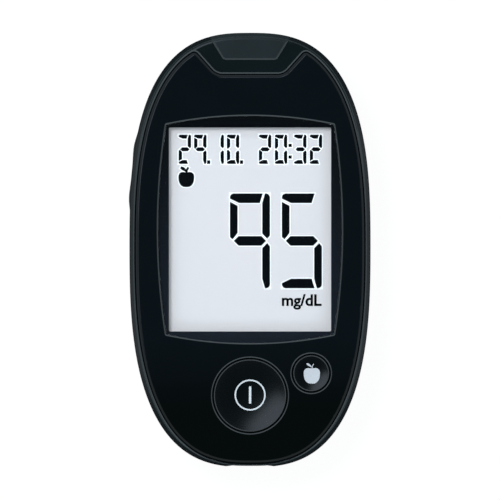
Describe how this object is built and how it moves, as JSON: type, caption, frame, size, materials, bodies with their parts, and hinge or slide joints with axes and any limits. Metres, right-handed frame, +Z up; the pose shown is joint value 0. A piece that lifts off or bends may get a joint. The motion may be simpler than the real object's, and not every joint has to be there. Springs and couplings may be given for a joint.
{
  "type": "blood glucose meter",
  "caption": "Oval handheld meter with a barrel-shaped display window, two dished round buttons, a side rocker, a test-strip slot in the end wall and a hinged coin-cell door in the back.",
  "frame": {"origin": "on the rest surface, under the middle of the meter lying on its back", "axes": "+Z up out of the display, +Y towards the test-strip slot, +X to the right of the display"},
  "size_m": [0.0546, 0.0978, 0.0185],
  "materials": {
    "back_abs": "fine spark-eroded matt black ABS",
    "housing_abs": "satin black ABS",
    "panel_gloss": "polished black acrylic",
    "button_gloss": "polished black ABS with white printed marks",
    "rocker_plastic": "satin black ABS",
    "port_plastic": "satin dark grey ABS",
    "window_clear": "clear hard-coated acrylic",
    "mask_print": "black screen print on film",
    "display_glass": "two bonded glass plates",
    "polariser_film": "polarising film, pale grey when lit from behind",
    "light_guide_acrylic": "milky acrylic",
    "white_plastic": "white moulded polycarbonate",
    "foam": "closed-cell foam",
    "contact_rubber": "layered silicone rubber",
    "board_laminate": "glass-fibre laminate with green solder resist",
    "chip_resin": "moulded black epoxy",
    "dome_steel": "stamped spring steel",
    "socket_nickel": "nickel-plated sheet",
    "cell_nickel": "nickel-plated can",
    "contact_gold": "gold-plated spring bronze",
    "screw_zinc": "zinc-plated"
  },
  "bodies": {
    "case": {"rear_shell": "back_abs", "upper_housing": "housing_abs", "front_panel": "panel_gloss", "display_window": "window_clear", "window_mask": "mask_print", "lcd_gasket": "foam", "lcd_front_polariser": "polariser_film", "lcd_glass": "display_glass", "lcd_rear_polariser": "polariser_film", "light_guide": "light_guide_acrylic", "lcd_holder": "white_plastic", "zebra_strip": "contact_rubber", "main_board": "board_laminate", "controller_chip": "chip_resin", "memory_chip": "chip_resin", "crystal": "dome_steel", "buzzer": "chip_resin", "backlight_led_left": "white_plastic", "backlight_led_right": "white_plastic", "power_dome": "dome_steel", "meal_dome": "dome_steel", "scroll_switch_up": "chip_resin", "scroll_switch_down": "chip_resin", "strip_port_insert": "port_plastic", "strip_connector": "white_plastic", "strip_contact_1": "contact_gold", "strip_contact_2": "contact_gold", "strip_contact_3": "contact_gold", "strip_contact_4": "contact_gold", "data_socket": "socket_nickel", "data_socket_insert": "chip_resin", "battery_cell_upper": "cell_nickel", "battery_cell_lower": "cell_nickel", "negative_contact": "contact_gold", "positive_contact": "contact_gold", "cell_link": "contact_gold", "case_screw_1": "screw_zinc", "case_screw_2": "screw_zinc", "case_screw_3": "screw_zinc", "case_screw_4": "screw_zinc"},
    "power_key": {"power_button": "button_gloss"},
    "meal_key": {"meal_button": "button_gloss"},
    "rocker": {"side_rocker": "rocker_plastic"},
    "door": {"battery_door": "back_abs"}
  },
  "joints": [
    {"name": "power_press", "type": "slide", "parent": "case", "child": "power_key", "axis": [0, 0, -1], "range_m": [0, 0.0004], "stiffness_N_per_m": 1500, "springref_m": -0.0004},
    {"name": "meal_press", "type": "slide", "parent": "case", "child": "meal_key", "axis": [0, 0, -1], "range_m": [0, 0.0004], "stiffness_N_per_m": 1000, "springref_m": -0.0004},
    {"name": "rocker_tilt", "type": "hinge", "parent": "case", "child": "rocker", "pos_m": [-0.02264, 0.0177, 0.0122], "axis": [0, 0, 1], "range_deg": [-2.5, 2.5], "stiffness_Nm_per_rad": 0.2},
    {"name": "door_swing", "type": "hinge", "parent": "case", "child": "door", "pos_m": [0, 0.0109, 0], "axis": [1, 0, 0], "range_deg": [0, 40]}
  ]
}
